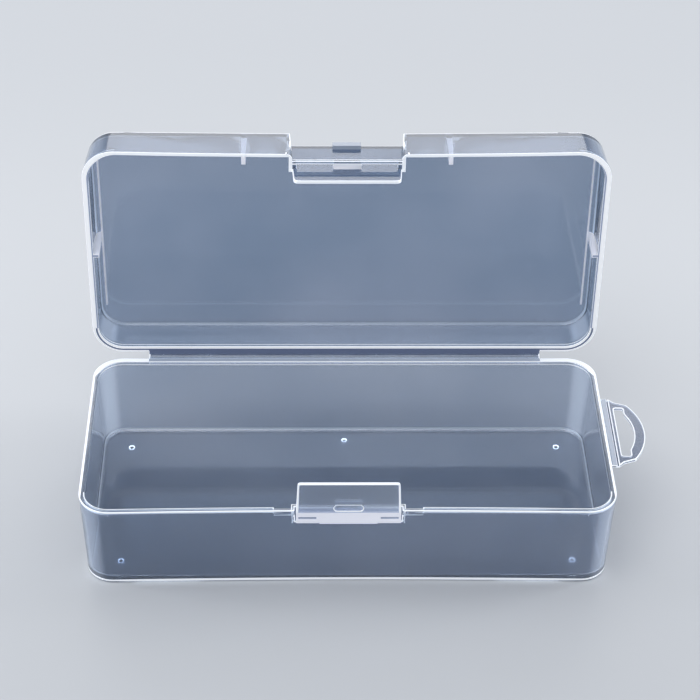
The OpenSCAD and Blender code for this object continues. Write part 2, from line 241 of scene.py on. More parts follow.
class NodeGroups:
    """Shader node groups that several finishes share, each built once."""

    def __init__(self) -> None:
        """Build all the groups."""
        self.haze = self._haze()
        self.ripple = self._ripple()
        self.painted_corner_highlight = self._painted_corner_highlight()

    @staticmethod
    def _new(
        name: str, inputs: list[tuple[str, str, Value]], outputs: list[tuple[str, str]]
    ) -> tuple[bpy.types.NodeTree, bpy.types.Node, bpy.types.Node]:
        """Start a node group.

        Args:
            name: Name of the group.
            inputs: Socket name, socket type and default of each input.
            outputs: Socket name and socket type of each output.

        Returns:
            The group, its input node and its output node.
        """
        group = bpy.data.node_groups.new(name, "ShaderNodeTree")
        for label, kind, default in inputs:
            socket = group.interface.new_socket(name=label, in_out="INPUT", socket_type=kind)
            socket.default_value = default
        for label, kind in outputs:
            group.interface.new_socket(name=label, in_out="OUTPUT", socket_type=kind)
        return group, group.nodes.new("NodeGroupInput"), group.nodes.new("NodeGroupOutput")

    def _haze(self) -> bpy.types.NodeTree:
        """Soft clouds of milkiness in the plastic: a colour and a mask that wander over the piece.

        Returns:
            The node group.
        """
        group, start, end = self._new(
            "plastic_haze",
            [
                ("Thin", "NodeSocketColor", (0.6, 0.7, 0.8, 1.0)),
                ("Milky", "NodeSocketColor", (0.8, 0.85, 0.9, 1.0)),
                ("Scale", "NodeSocketFloat", 12.0),
            ],
            [("Color", "NodeSocketColor"), ("Mask", "NodeSocketFloat")],
        )
        place = group.nodes.new("ShaderNodeTexCoord")
        cloud = group.nodes.new("ShaderNodeTexNoise")
        cloud.inputs["Detail"].default_value = 3.0
        cloud.inputs["Roughness"].default_value = 0.45
        spread = group.nodes.new("ShaderNodeMapRange")
        spread.inputs["From Min"].default_value = 0.36
        spread.inputs["From Max"].default_value = 0.66
        mask = spread.outputs["Result"]
        links = group.links
        links.new(place.outputs["Object"], cloud.inputs["Vector"])
        links.new(start.outputs["Scale"], cloud.inputs["Scale"])
        links.new(cloud.outputs["Fac"], spread.inputs["Value"])
        colour = colour_mix(group, mask, start.outputs["Thin"], start.outputs["Milky"])
        links.new(colour, end.inputs["Color"])
        links.new(mask, end.inputs["Mask"])
        return group

    def _ripple(self) -> bpy.types.NodeTree:
        """Faint flow ripples that moulding leaves in a polished wall.

        Returns:
            The node group.
        """
        group, start, end = self._new(
            "mould_ripple",
            [("Scale", "NodeSocketFloat", 60.0), ("Height", "NodeSocketFloat", 0.00002)],
            [("Normal", "NodeSocketVector")],
        )
        place = group.nodes.new("ShaderNodeTexCoord")
        wave = group.nodes.new("ShaderNodeTexNoise")
        wave.inputs["Detail"].default_value = 1.0
        bump = group.nodes.new("ShaderNodeBump")
        bump.inputs["Strength"].default_value = 1.0
        links = group.links
        links.new(place.outputs["Object"], wave.inputs["Vector"])
        links.new(start.outputs["Scale"], wave.inputs["Scale"])
        links.new(start.outputs["Height"], bump.inputs["Distance"])
        links.new(wave.outputs["Fac"], bump.inputs["Height"])
        links.new(bump.outputs["Normal"], end.inputs["Normal"])
        return group

    def _painted_corner_highlight(self) -> bpy.types.NodeTree:
        """Painted highlight in the rounded corners between two walls, as a colour for emission that glows
        without a lamp.

        Returns:
            The node group.
        """
        group, start, end = self._new(
            "painted_corner_highlight",
            [
                ("Tint", "NodeSocketColor", (0.8, 0.88, 1.0, 1.0)),
                ("Base", "NodeSocketFloat", 0.0),
                ("Across", "NodeSocketVector", (0.0, 1.0, 0.0)),
            ],
            [("Color", "NodeSocketColor")],
        )
        links = group.links
        normal = group.nodes.new("ShaderNodeTexCoord").outputs["Normal"]
        parts = group.nodes.new("ShaderNodeSeparateXYZ")
        links.new(normal, parts.inputs["Vector"])
        across = sum_node(group, Sum.VECTOR, "DOT_PRODUCT", normal, start.outputs["Across"])
        product = number(group, "MULTIPLY", parts.outputs["X"], across.outputs["Value"])
        band = group.nodes.new("ShaderNodeMapRange")
        band.interpolation_type = "SMOOTHSTEP"
        band.inputs["From Min"].default_value = 0.2
        band.inputs["From Max"].default_value = 0.5
        links.new(number(group, "ABSOLUTE", product), band.inputs["Value"])
        total = number(group, "ADD", band.outputs["Result"], start.outputs["Base"])
        painted_glow = sum_node(group, Sum.VECTOR, "SCALE", start.outputs["Tint"])
        links.new(total, painted_glow.inputs["Scale"])
        links.new(painted_glow.outputs["Vector"], end.inputs["Color"])
        return group


# Finishes


@dataclass(frozen=True)
class Plastic:
    """A polypropylene finish.

    Attributes:
        name: Name of the material.
        thin: Tint where the plastic is clearest.
        milky: Tint where it is milkiest.
        rough_low: Roughness where it is clearest.
        rough_high: Roughness where it is milkiest.
        transmission: Share of the light that it lets through.
        haze_scale: Scale of its milky clouds.
        ripple_scale: Scale of its flow ripples.
        ripple_height: Height of its flow ripples.
        painted_glow: Strength of its emission, a painted glow that shines without a lamp and paints
            highlights in its corners.
        painted_glow_base: Share of that painted glow that it has outside its corners.
        across: Axis that the second wall of a corner faces along; the first faces along X.
        ior: Index of refraction.
    """

    name: str
    thin: Colour
    milky: Colour
    rough_low: float
    rough_high: float
    transmission: float
    haze_scale: float = 14.0
    ripple_scale: float = 55.0
    ripple_height: float = 0.012 * MM
    # Emission that paints a glow, and highlights in the corners.
    painted_glow: float = 0.1
    painted_glow_base: float = 0.0
    across: Place = (0.0, 1.0, 0.0)
    ior: float = 1.49

    def build(self, groups: NodeGroups) -> bpy.types.Material:
        """Make the material.

        Args:
            groups: The shared node groups.

        Returns:
            The Blender material.
        """
        material, tree, shader = new_material(self.name)
        haze = placed(
            tree, groups.haze, Thin=opaque(self.thin), Milky=opaque(self.milky), Scale=self.haze_scale
        )
        ripple = placed(tree, groups.ripple, Scale=self.ripple_scale, Height=self.ripple_height)
        # Painted corner highlight and painted glow, fed into the emission.
        corners = placed(tree, groups.painted_corner_highlight, Base=self.painted_glow_base, Across=self.across)
        gloss = tree.nodes.new("ShaderNodeMapRange")
        gloss.inputs["To Min"].default_value = self.rough_low
        gloss.inputs["To Max"].default_value = self.rough_high
        tree.links.new(haze.outputs["Mask"], gloss.inputs["Value"])
        tree.links.new(haze.outputs["Color"], shader.inputs["Base Color"])
        tree.links.new(gloss.outputs["Result"], shader.inputs["Roughness"])
        tree.links.new(ripple.outputs["Normal"], shader.inputs["Normal"])
        tree.links.new(corners.outputs["Color"], shader.inputs["Emission Color"])
        shader.inputs["Emission Strength"].default_value = self.painted_glow
        shader.inputs["Transmission Weight"].default_value = self.transmission
        shader.inputs["IOR"].default_value = self.ior
        return material


@dataclass(frozen=True)
class RimLightAndShade:
    """Painted light and shade on the lid's rim.

    The rim is painted white as a highlight and glows. Its inner part is a dimmer painted highlight at the
    sides. In the rear corners and along the back a dark line of painted shade runs between its edges, and at
    the hinge it takes in the outer part of the rim.

    Attributes:
        name: Name of the material.
        line: Colour of the rim's edges, a painted highlight.
        soft: Colour of its inner part at the sides, a dimmer painted highlight.
        between: Colour of the dark line, a painted shade.
        middle: Middle of the open lid's rim.
        plane: 1 along the axes of the rim's plane.
        core: How far the centres of its round corners are from the middle.
        gap_at: How far the middle of the dark line is from the corners' centres.
        gap_half: Half of the dark line's width.
        soft_in: How far from the corners' centres the soft part ends.
        painted_glow: Strength of its emission, a painted glow that shines without a lamp.
        rough: Roughness.
    """

    name: str = "rim_painted_light_and_shade"
    # White painted highlight, its dimmer part and the dark painted shade.
    line: Colour = (0.95, 0.97, 1.0)
    soft: Colour = (0.28, 0.33, 0.46)
    between: Colour = (0.11, 0.14, 0.23)
    middle: Place = (0.0, 0.0, 79.8 * MM)
    plane: Place = (1.0, 0.0, 1.0)
    core: Place = (83.5 * MM, 0.0, 33.0 * MM)
    gap_at: float = 9.95 * MM
    gap_half: float = 0.35 * MM
    soft_in: float = 9.75 * MM
    painted_glow: float = 0.28
    rough: float = 0.35

    def _masks(self, tree: bpy.types.NodeTree) -> tuple[bpy.types.NodeSocket, bpy.types.NodeSocket]:
        """Work out where the rim carries painted shade and where its painted highlight is dimmer.

        Args:
            tree: The material's nodes.

        Returns:
            The mask of the dark line of painted shade and the mask of the dimmer painted highlight.
        """
        place = tree.nodes.new("ShaderNodeTexCoord").outputs["Object"]
        centred = vector(tree, "SUBTRACT", place, self.middle)
        flat = vector(tree, "MULTIPLY", vector(tree, "ABSOLUTE", centred), self.plane)
        corner = vector(tree, "MAXIMUM", vector(tree, "SUBTRACT", flat, self.core), (0.0, 0.0, 0.0))
        out = sum_node(tree, Sum.VECTOR, "LENGTH", corner).outputs["Value"]
        parts = tree.nodes.new("ShaderNodeSeparateXYZ")
        tree.links.new(centred, parts.inputs["Vector"])
        rear = number(tree, "LESS_THAN", parts.outputs["Z"], -self.core[2])
        hinge = number(tree, "LESS_THAN", number(tree, "ABSOLUTE", parts.outputs["X"]), HINGE_END)
        gap = number(tree, "COMPARE", out, self.gap_at, self.gap_half)
        outer = number(tree, "GREATER_THAN", out, self.gap_at - self.gap_half)
        dark = number(tree, "MAXIMUM", gap, number(tree, "MULTIPLY", outer, hinge))
        inner = number(tree, "LESS_THAN", out, self.soft_in)
        return number(tree, "MULTIPLY", dark, rear), number(tree, "GREATER_THAN", inner, rear)

    def build(self, groups: NodeGroups) -> bpy.types.Material:
        """Make the material.

        Args:
            groups: The shared node groups.

        Returns:
            The Blender material.
        """
        material, tree, shader = new_material(self.name)
        dark, soft = self._masks(tree)
        # Painted highlight on the rim, dimmer at the sides, crossed by painted shade; it glows in its own
        # colour.
        edge = colour_mix(tree, soft, opaque(self.line), opaque(self.soft))
        colour = colour_mix(tree, dark, edge, opaque(self.between))
        ripple = placed(tree, groups.ripple)
        tree.links.new(colour, shader.inputs["Base Color"])
        tree.links.new(colour, shader.inputs["Emission Color"])
        tree.links.new(ripple.outputs["Normal"], shader.inputs["Normal"])
        shader.inputs["Emission Strength"].default_value = self.painted_glow
        shader.inputs["Roughness"].default_value = self.rough
        return material


@dataclass(frozen=True)
class FloorFinish:
    """Plain pale floor, seen at its own colour, faintly mottled and softly reflecting."""

    name: str = "pale_floor"
    colour: Colour = (0.60, 0.62, 0.65)
    mottle: float = 1.02
    mottle_scale: float = 3.0
    rough: float = 0.25
    specular: float = 0.2

    def build(self) -> bpy.types.Material:
        """Make the material.

        Returns:
            The Blender material.
        """
        material, tree, shader = new_material(self.name)
        place = tree.nodes.new("ShaderNodeTexCoord")
        cloud = tree.nodes.new("ShaderNodeTexNoise")
        cloud.inputs["Scale"].default_value = self.mottle_scale
        tree.links.new(place.outputs["Object"], cloud.inputs["Vector"])
        lighter = tuple(min(1.0, part * self.mottle) for part in self.colour)
        colour = colour_mix(tree, cloud.outputs["Fac"], opaque(self.colour), opaque(lighter))
        tree.links.new(colour, shader.inputs["Base Color"])
        shader.inputs["Roughness"].default_value = self.rough
        shader.inputs["Specular IOR Level"].default_value = self.specular
        return material


CLEAR = Plastic(
    "clear_wall", thin=(0.48, 0.56, 0.69), milky=(0.58, 0.65, 0.77),
    rough_low=0.05, rough_high=0.12, transmission=0.84,
)
# Darker copy of the clear wall, a painted shade over the lid.
LID_CLEAR = Plastic(
    "clear_lid_wall", thin=(0.30, 0.38, 0.51), milky=(0.40, 0.47, 0.60),
    rough_low=0.05, rough_high=0.12, transmission=0.86, across=(0.0, 0.0, 1.0),
)
# Darker copy of the clear wall, a painted shade over the loop.
LOOP_CLEAR = Plastic(
    "clear_loop", thin=(0.20, 0.24, 0.35), milky=(0.27, 0.32, 0.43),
    rough_low=0.08, rough_high=0.15, transmission=0.75,
)
CLOUDY = Plastic(
    "cloudy_latch", thin=(0.55, 0.62, 0.74), milky=(0.64, 0.71, 0.81),
    rough_low=0.12, rough_high=0.22, transmission=0.76,
)
# Darker copy of the clear plastic, a painted shade in the hinge's fold.
FILM = Plastic(
    "hinge_film_painted_shade", thin=(0.16, 0.20, 0.31), milky=(0.24, 0.30, 0.42),
    rough_low=0.15, rough_high=0.3, transmission=0.6, haze_scale=90.0,
)
MILKY = Plastic(
    "milky_flange", thin=(0.48, 0.54, 0.66), milky=(0.56, 0.62, 0.73),
    rough_low=0.2, rough_high=0.3, transmission=0.25,
)
# Frosted plastic that also glows all over, a painted glow.
FROSTED = Plastic(
    "frosted_foot", thin=(0.84, 0.83, 0.90), milky=(0.90, 0.89, 0.95),
    rough_low=0.3, rough_high=0.45, transmission=0.1, painted_glow=0.2, painted_glow_base=1.0,
)
# White glowing strips along the edges: a painted highlight.
EDGE_HIGHLIGHT = Plastic(
    "painted_edge_highlight", thin=(0.95, 0.97, 1.0), milky=(0.98, 0.99, 1.0),
    rough_low=0.3, rough_high=0.45, transmission=0.0, painted_glow=0.28, painted_glow_base=1.0,
)
# Small white glowing rings on the feet: a painted highlight.
RING = Plastic(
    "painted_foot_highlight", thin=(0.95, 0.97, 1.0), milky=(0.98, 0.99, 1.0),
    rough_low=0.3, rough_high=0.45, transmission=0.0, painted_glow=1.4, painted_glow_base=1.0,
)
RIM_LIGHT_AND_SHADE = RimLightAndShade()


class Paints:
    """Materials of the box, each made when a piece first needs it."""

    def __init__(self) -> None:
        """Build the shared node groups and start without materials."""
        self.groups = NodeGroups()
        self.made: dict[str, bpy.types.Material] = {}

    def get(self, finish: Plastic | RimLightAndShade) -> bpy.types.Material:
        """Give the material of a finish.

        Args:
            finish: The finish.

        Returns:
            The Blender material, the same one each time.
        """
        if finish.name not in self.made:
            self.made[finish.name] = finish.build(self.groups)
        return self.made[finish.name]


# Moulded pieces


def level_cut(z: float) -> Cut:
    """Level cutting plane at a height, in metres, as a point on it and its normal."""
    return Vector((0.0, 0.0, z)), Vector((0.0, 0.0, 1.0))


def upright_cut(x: float, y: float) -> Cut:
    """Upright cutting plane.

    Args:
        x: Its place along X where it is square to X, in metres, or else 0.
        y: Its place along Y where it is square to Y, in metres, or else 0.

    Returns:
        A point on the plane and its normal.
    """
    place = Vector((x, y, 0.0))
    return place, place.normalized()


@dataclass
class Moulding:
    """A moulded piece: its node's skin with the sharp edges rounded and given white glowing strips of painted
    highlight.

    Attributes:
        name: Name of the piece.
        node: Node that it replaces.
        body: Body that it rides on.
        slot: Its slot in the record; not used.
        wall: Finish of its plain faces.
        strip_w: Width of the strips of painted highlight beside its sharp edges.
        edge_r: Reach of the rounding of its edges.
        weld: Distance within which points of the skin are one.
        flat_deg: Angle within which faces of the skin are one.
        sharp_deg: Angle from which an edge is sharp.
        smooth_deg: Angle up to which it is shaded smoothly.
        cut_slack: Distance within which a cut keeps to the points that are there.
    """

    name: str
    node: str
    body: Body
    slot: Slot
    wall: Plastic
    strip_w: float = 0.38 * MM
    edge_r: float = 0.15 * MM
    weld: float = 0.03 * MM
    flat_deg: float = 0.06
    sharp_deg: float = 32.0
    smooth_deg: float = 40.0
    cut_slack: float = 0.001 * MM

    def build(self, paints: Paints) -> bpy.types.Object:
        """Make the piece, dress it and set it on its body.

        Args:
            paints: The materials.

        Returns:
            The new object.
        """
        mesh = bpy.data.meshes.new(self.name)
        self._skin(mesh)
        # EDGE, the feet and the lid's rim carry painted highlights; the rim also painted shade.
        finishes = {
            Coat.WALL: self.wall,
            Coat.EDGE: EDGE_HIGHLIGHT,
            Coat.PALE: FROSTED,
            Coat.MILKY: MILKY,
            Coat.RING: RING,
            Coat.RIM_LIGHT_SHADE: RIM_LIGHT_AND_SHADE,
        }
        for coat in Coat:
            mesh.materials.append(paints.get(finishes[coat]))
        piece = bpy.data.objects.new(self.name, mesh)
        bpy.context.scene.collection.objects.link(piece)
        mesh.set_sharp_from_angle(angle=math.radians(self.smooth_deg))
        even = piece.modifiers.new("even_normals", "WEIGHTED_NORMAL")
        even.keep_sharp = True
        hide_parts(self.node)
        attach(piece, self.body.value)
        return piece

    def _skin(self, mesh: bpy.types.Mesh) -> None:
        """Copy the node's skin into a mesh, lay strips along its outer edges, round them and part it.

        Args:
            mesh: The mesh to fill.
        """
        bm = bmesh.new()
        bm.from_mesh(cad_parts[self.node].data)
        bmesh.ops.remove_doubles(bm, verts=bm.verts, dist=self.weld)
        bmesh.ops.dissolve_limit(
            bm, angle_limit=math.radians(self.flat_deg), verts=bm.verts, edges=bm.edges, delimit=set()
        )
        self._bevel(bm, self.strip_w, segments=2, profile=1.0)
        self._bevel(bm, self.edge_r, segments=3, profile=0.5)
        for place, normal in self.cuts():
            bmesh.ops.bisect_plane(
                bm, geom=[*bm.verts, *bm.edges, *bm.faces], dist=self.cut_slack,
                plane_co=place, plane_no=normal,
            )
        bm.normal_update()
        for face in bm.faces:
            face.smooth = True
            coat = self.coat(face)
            if coat is not None:
                face.material_index = coat.value
        bm.to_mesh(mesh)
        bm.free()

    def _bevel(self, bm: bmesh.types.BMesh, offset: float, segments: int, profile: float) -> None:
        """Bevel the sharp outer edges and give the new faces the painted highlight finish.

        Args:
            bm: The mesh to change.
            offset: Distance from an edge to the new edges beside it.
            segments: Faces across the bevel.
            profile: 0.5 for a round bevel, 1 for strips that keep the corner.
        """
        bm.normal_update()
        sharp = [
            edge for edge in bm.edges
            if len(edge.link_faces) == 2 and edge.is_convex
            and edge.calc_face_angle(0.0) > math.radians(self.sharp_deg)
        ]
        bmesh.ops.bevel(
            bm, geom=sharp, offset=offset, offset_type="OFFSET", segments=segments, profile=profile,
            affect="EDGES", clamp_overlap=False, material=Coat.EDGE.value, loop_slide=True,
        )

    def cuts(self) -> list[Cut]:
        """Planes that part its faces, so that the parts can have finishes of their own; none here."""
        return []

    def coat(self, face: bmesh.types.BMFace) -> Coat | None:
        """Finish of a single face, or None where it keeps what it has, as on a plain moulding."""
        return None


@dataclass
class Tray(Moulding):
    """The tray, with painted highlights on its bottom edge, on the sides of its feet and on most of its rim.

    Attributes:
        edge_top: Height of the painted highlight along the bottom edge.
        foot_root: Depth below the underside from which a face belongs to a foot.
        rim_drop: Depth below the rim's top down to which the faces inside the band of painted highlight are
            plain.
        front_stop: Where the front corners start, along Y.
        rear_stop: Where the rear corners start and the band of painted highlight on the sides starts to
            widen, along Y.
        taper_end: Where that band takes in the rim's whole width, along Y.
        taper: How far its inner edge moves in over each metre along Y there.
        rear_face: Outer face of the rear wall, along Y; the hinge's flange is behind it.
        side_face: Outer face of the side walls, along X; the loop's flange is beside it.
        side_band: Width of the band of painted highlight on the sides.
        flange_gap: Width of the loop's flange beside the wall that keeps its finish.
        shelf_x: Half of the length of the shelf under the flap.
        shelf_low: Height of the shelf's underside, with some room.
        shelf_top: Height of the shelf's top, with some room.
        shelf_back: Where the shelf's pale part ends at the back, along Y.
        skin: Depth within which a face lies in the rim's top.
    """

    name: str = "tray_moulding"
    node: str = "base_tray"
    body: Body = Body.TRAY
    slot: Slot = Slot.CLEAR
    wall: Plastic = CLEAR
    edge_top: float = 1.15 * MM
    foot_root: float = 0.02 * MM
    rim_drop: float = 0.6 * MM
    front_stop: float = -33.0 * MM
    rear_stop: float = 33.0 * MM
    taper_end: float = 39.36 * MM
    taper: float = 0.596
    rear_face: float = 44.0 * MM
    side_face: float = 94.5 * MM
    side_band: float = 0.85 * MM
    flange_gap: float = 0.45 * MM
    shelf_x: float = 10.75 * MM
    shelf_low: float = 28.1 * MM
    shelf_top: float = 29.3 * MM
    shelf_back: float = -43.0 * MM
    skin: float = 0.001 * MM

    def cuts(self) -> list[Cut]:
        """Part the walls above the bottom edge, and the rim from the two flanges and its front.

        Returns:
            A point and a normal for each plane.
        """
        band_in = self._band_x(self.rear_stop)
        flange_in = self.side_face + self.flange_gap
        return [
            level_cut(self.edge_top),
            *(upright_cut(0.0, y) for y in (self.front_stop, self.rear_stop, self.rear_face)),
            *(upright_cut(x, 0.0) for x in (HINGE_END, -HINGE_END, band_in, -band_in)),
            *(upright_cut(x, 0.0) for x in (self.side_face, flange_in)),
            upright_cut(0.0, self.taper_end),
            *(
                (Vector((side * band_in, self.rear_stop, 0.0)), Vector((side, self.taper, 0.0)))
                for side in (-1, 1)
            ),
        ]

    def _band_x(self, y: float) -> float:
        """Distance of the bright band's inner edge from the middle of the tray.

        Args:
            y: Place along Y.

        Returns:
            The distance, less and less through the rear corners.
        """
        return self.side_face - self.side_band - self.taper * max(0.0, y - self.rear_stop)

    def coat(self, face: bmesh.types.BMFace) -> Coat | None:
        """Finish of a face by its place.

        Args:
            face: The face.

        Returns:
            The finish, or None where the face keeps its own.
        """
        centre = face.calc_center_median()
        # The feet's sides take the small glowing rings of painted highlight.
        if centre.z < -self.foot_root:
            on_side = face.normal.z > -FACING
            return Coat.RING if on_side or face.material_index == Coat.EDGE.value else None
        # The bottom edge takes a painted highlight.
        if centre.z < self.edge_top:
            return Coat.EDGE if face.normal.z > -FACING else None
        if abs(centre.x) < self.shelf_x and self.shelf_low < centre.z < self.shelf_top:
            return Coat.PALE if centre.y < self.shelf_back else None
        beside = self.front_stop < centre.y < self.taper_end
        if centre.z > RIM_TOP - self.rim_drop and beside and abs(centre.x) < self._band_x(centre.y):
            return Coat.WALL
        if centre.z < RIM_TOP - self.skin or face.normal.z < FACING:
            return None
        if centre.x > self.side_face:
            return Coat.MILKY if centre.x > self.side_face + self.flange_gap else None
        # Most of the rim's top takes a painted highlight.
        if abs(centre.x) > self.side_face - self.side_band:
            return Coat.EDGE
        if centre.y > self.rear_face or centre.y < self.front_stop:
            return None
        if abs(centre.x) < HINGE_END and centre.y > self.rear_stop:
            return Coat.MILKY
        return Coat.EDGE


@dataclass
class Lid(Moulding):
    """The open lid, with pale ribs as painted highlights, painted light and shade on its rim and a painted
    highlight on the round edge of its panel.

    Attributes:
        edge_depth: Depth of the panel's round edge, from the panel's outer face.
        tilt: How far from 0 and from 1 the normal's share along Y is on a round edge.
        rim_y: Plane of the rim, along Y.
        rim_slack: Room on both sides of that plane.
        front_rim_low: Height of the inner edge of the rim's front.
        corner_low: Height at which the rim's front corners start at the sides.
        corner_x: Where they start at the front, along X.
        notch_x: Half of the notch's width, with some room.
        bar_line: Top of the line of painted highlight on the notch's bar.
        bar_low: Bottom of that line.
        tab_x: Half of the width of the tab between the two slots.
        tab_low: Bottom of the tab.
        thumb_x: Half of the thumb ledge's width, with some room.
        thumb_top: Height of the thumb ledge, with some room.
        thumb_h: How far the thumb ledge reaches from the panel's outer face.
        front_rib_x: Middle of a rib on the front wall, along X.
        front_rib_low: Height at which a rib on the front wall ends, with some room.
        front_wall: Height of the front wall's inner face, with some room.
        side_rib_z: Height of the middle of a rib on a side wall.
        side_rib_in: Where a rib on a side wall ends, along X, with some room.
        side_wall: Inner face of the side walls, along X, with some room.
        rib_half: Half of a rib's width, with some room.
    """

    name: str = "lid_moulding"
    node: str = "lid_cover"
    body: Body = Body.LID
    slot: Slot = Slot.CLEAR
    wall: Plastic = LID_CLEAR
    strip_w: float = 0.35 * MM
    edge_r: float = 0.13 * MM
    edge_depth: float = 1.02 * MM
    tilt: float = 0.001
    rim_y: float = 45.9 * MM
    rim_slack: float = 0.05 * MM
    front_rim_low: float = 122.4 * MM
    corner_low: float = 112.8 * MM
    corner_x: float = 83.5 * MM
    notch_x: float = 19.6 * MM
    bar_line: float = 119.95 * MM
    bar_low: float = 119.4 * MM
    tab_x: float = 5.1 * MM
    tab_low: float = 117.5 * MM
    thumb_x: float = 5.2 * MM
    thumb_top: float = 119.1 * MM
    thumb_h: float = 2.6 * MM
    front_rib_x: float = 37.0 * MM
    front_rib_low: float = 119.3 * MM
    front_wall: float = 123.2 * MM
    side_rib_z: float = 79.8 * MM
    side_rib_in: float = 90.0 * MM
    side_wall: float = 93.6 * MM
    rib_half: float = 1.15 * MM

    def cuts(self) -> list[Cut]:
        """Part the front of the rim, its corners and the notch's bar and tab from the rest.

        Returns:
            A point and a normal for each plane.
        """
        heights = (self.front_rim_low, self.bar_line, self.bar_low, self.tab_low, self.corner_low)
        upright = (self.corner_x, -self.corner_x, self.notch_x, -self.notch_x, self.tab_x, -self.tab_x)
        return [*(level_cut(z) for z in heights), *(upright_cut(x, 0.0) for x in upright)]

    def _rim_coat(self, centre: Vector) -> Coat:
        """Finish of a face in the plane of the rim.

        Args:
            centre: The middle of the face.

        Returns:
            The finish.
        """
        # The rim's sides and rear take its painted light and shade, its front and the notch's bar a painted
        # highlight.
        if centre.z < self.corner_low or abs(centre.x) > self.corner_x:
            return Coat.RIM_LIGHT_SHADE
        if abs(centre.x) > self.notch_x or self.bar_low < centre.z < self.bar_line:
            return Coat.EDGE
        return Coat.PALE if abs(centre.x) < self.tab_x and centre.z < self.bar_low else Coat.WALL

    def coat(self, face: bmesh.types.BMFace) -> Coat | None:
        """Finish of a face by its place.

        Args:
            face: The face.

        Returns:
            The finish, or None where the face keeps its own.
        """
        panel_y = CAD_BOX[1].y
        centre = face.calc_center_median()
        beside_thumb = abs(centre.x) < self.thumb_x and centre.y > panel_y - self.thumb_h
        if beside_thumb and self.tab_low + self.rim_slack < centre.z < self.thumb_top:
            return Coat.MILKY
        # The panel's round edge takes a painted highlight.
        if centre.y > panel_y - self.edge_depth and self.tilt < face.normal.y < 1.0 - self.tilt:
            return Coat.EDGE
        # Ribs are painted pale, a painted highlight for the light they catch.
        beside_front = abs(abs(centre.x) - self.front_rib_x) < self.rib_half
        if beside_front and self.front_rib_low < centre.z < self.front_wall:
            return Coat.PALE
        beside_side = abs(centre.z - self.side_rib_z) < self.rib_half
        if beside_side and self.side_rib_in < abs(centre.x) < self.side_wall:
            return Coat.PALE
        # Faces in front of the rim's plane that do not face up or down take a painted highlight.
        if centre.y < self.rim_y - self.rim_slack:
            return Coat.EDGE if abs(face.normal.z) < FACING else None
        if centre.y < self.rim_y + self.rim_slack and face.normal.y < -FACING:
            return self._rim_coat(centre)
        return None


@dataclass
class LatchFlap(Moulding):
    """The latch flap, with its thick foot pale, its grooves darker as painted shade and its plate's outline a
    painted highlight.

    Attributes:
        foot_low: Height of the foot's underside.
        foot_top: Height of the foot's top, where the plate starts.
        top: Height of the plate's top.
        half_w: Half of the flap's width at the foot's underside.
        lean: How far each side moves in over each metre of height.
        line_w: Width of the plate's outline of painted highlight.
        up: Share of a face's normal along Z from which it looks up.
        groove_in: Inner end of a groove, along X.
        groove_out: Outer end of a groove, along X.
        groove_low: Height of a groove's lower edge.
        groove_top: Height of a groove's upper edge.
    """

    name: str = "latch_moulding"
    node: str = "latch_flap"
    body: Body = Body.LATCH
    slot: Slot = Slot.FROSTED
    wall: Plastic = CLOUDY
    strip_w: float = 0.3 * MM
    edge_r: float = 0.12 * MM
    foot_low: float = 29.2 * MM
    foot_top: float = 34.0 * MM
    top: float = 47.0 * MM
    half_w: float = 18.3 * MM
    lean: float = 0.6 / 17.8
    line_w: float = 0.62 * MM
    up: float = 0.5
    groove_in: float = 11.2 * MM
    groove_out: float = 17.5 * MM
    groove_low: float = 31.15 * MM
    groove_top: float = 32.05 * MM

    def cuts(self) -> list[Cut]:
        """Part the plate above the foot, and its outline from its middle.

        Returns:
            A point and a normal for each plane.
        """
        line_in = self.half_w - self.line_w
        sides = (
            (Vector((side * line_in, 0.0, self.foot_low)), Vector((side, 0.0, self.lean)))
            for side in (-1, 1)
        )
        return [level_cut(self.foot_top), *sides]

    def coat(self, face: bmesh.types.BMFace) -> Coat | None:
        """Finish of a face by its place.

        Args:
            face: The face.

        Returns:
            The finish, or None where the face keeps its own.
        """
        centre = face.calc_center_median()
        if centre.z < self.foot_top:
            # Grooves take the darker milky finish, a painted shade in the recesses.
            in_groove = self.groove_in < abs(centre.x) < self.groove_out
            return Coat.MILKY if in_groove and self.groove_low < centre.z < self.groove_top else Coat.PALE
        # The plate's outline and top take a painted highlight.
        line_x = self.half_w - self.line_w - self.lean * (centre.z - self.foot_low)
        on_top = centre.z > self.top - self.line_w and face.normal.z > self.up
        return Coat.EDGE if abs(centre.x) > line_x or on_top else None


@dataclass
class HangLoop(Moulding):
    """The hanging loop, darker as painted shade, with painted highlights along its edges."""

    name: str = "loop_moulding"
    node: str = "hang_loop"
    body: Body = Body.LOOP
    slot: Slot = Slot.CLEAR
    wall: Plastic = LOOP_CLEAR
    strip_w: float = 0.35 * MM
    edge_r: float = 0.12 * MM


# Film hinges


@dataclass(frozen=True)
class Bow:
    """Smooth path from a start to an end that leans on a knee."""

    start: Vector
    knee: Vector
    end: Vector

    def at(self, t: float) -> Vector:
        """Point of the path at t, from 0 to 1."""
        return self.start * (1 - t) ** 2 + self.knee * 2 * t * (1 - t) + self.end * t ** 2

    def across(self, t: float, along: Vector, reach: float = 0.01) -> Vector:
        """Direction square to the path and to a line.

        Args:
            t: Place on the path, from 0 to 1.
            along: Unit vector along the line.
            reach: How far ahead and behind the path's direction is read.

        Returns:
            The unit vector.
        """
        ahead = self.at(min(1.0, t + reach))
        behind = self.at(max(0.0, t - reach))
        return (ahead - behind).normalized().cross(along).normalized()


